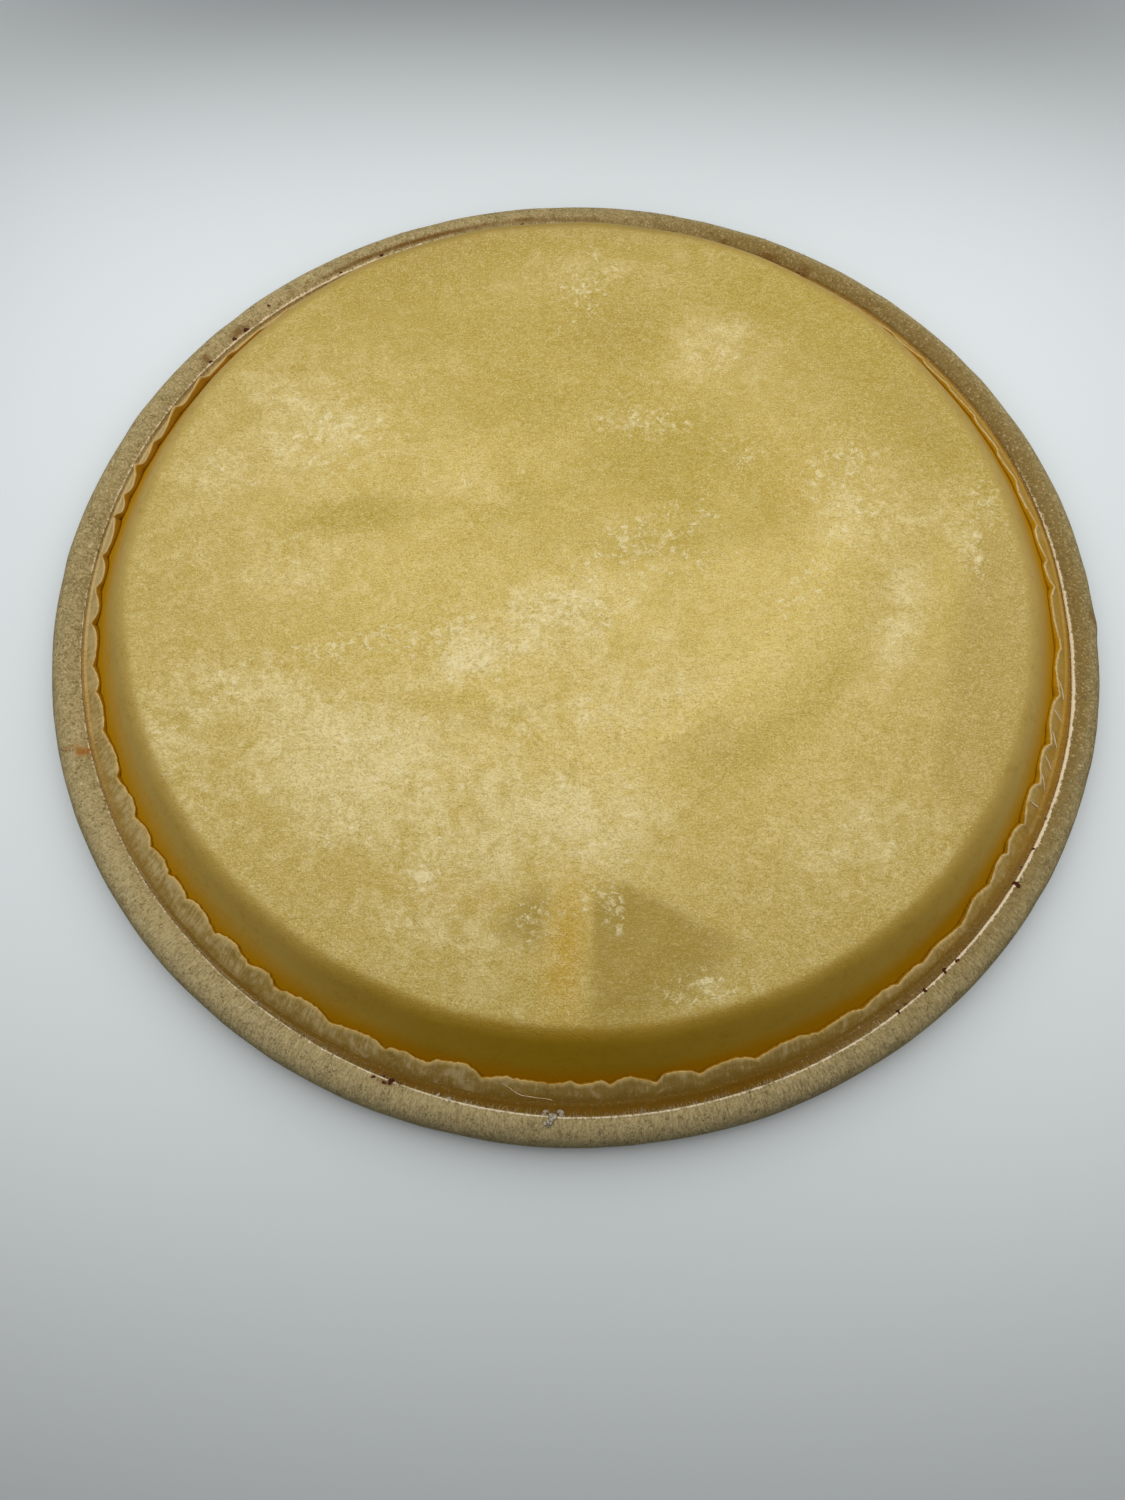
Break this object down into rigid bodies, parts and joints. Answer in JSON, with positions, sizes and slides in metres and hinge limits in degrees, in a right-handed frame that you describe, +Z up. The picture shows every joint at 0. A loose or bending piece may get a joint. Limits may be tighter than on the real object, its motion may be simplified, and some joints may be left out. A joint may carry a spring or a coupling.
{
  "type": "drum head",
  "caption": "Round natural rawhide hand-drum head: flat playing membrane, sloping collar, and rim wrapped round a sealed steel hoop with a tucked, scalloped tail.",
  "frame": {"origin": "on the drum's axis, in the plane that the wrapped hoop rests on", "axes": "+Z up along the drum's axis, out of the playing face; -Y towards the viewer of the picture"},
  "size_m": [0.33, 0.33, 0.024],
  "materials": {
    "rawhide": "dry natural hide, satin",
    "hoop_steel": "plain, spotted with rust"
  },
  "bodies": {
    "root": {"rawhide_skin": "rawhide", "flesh_hoop": "hoop_steel"}
  },
  "joints": []
}
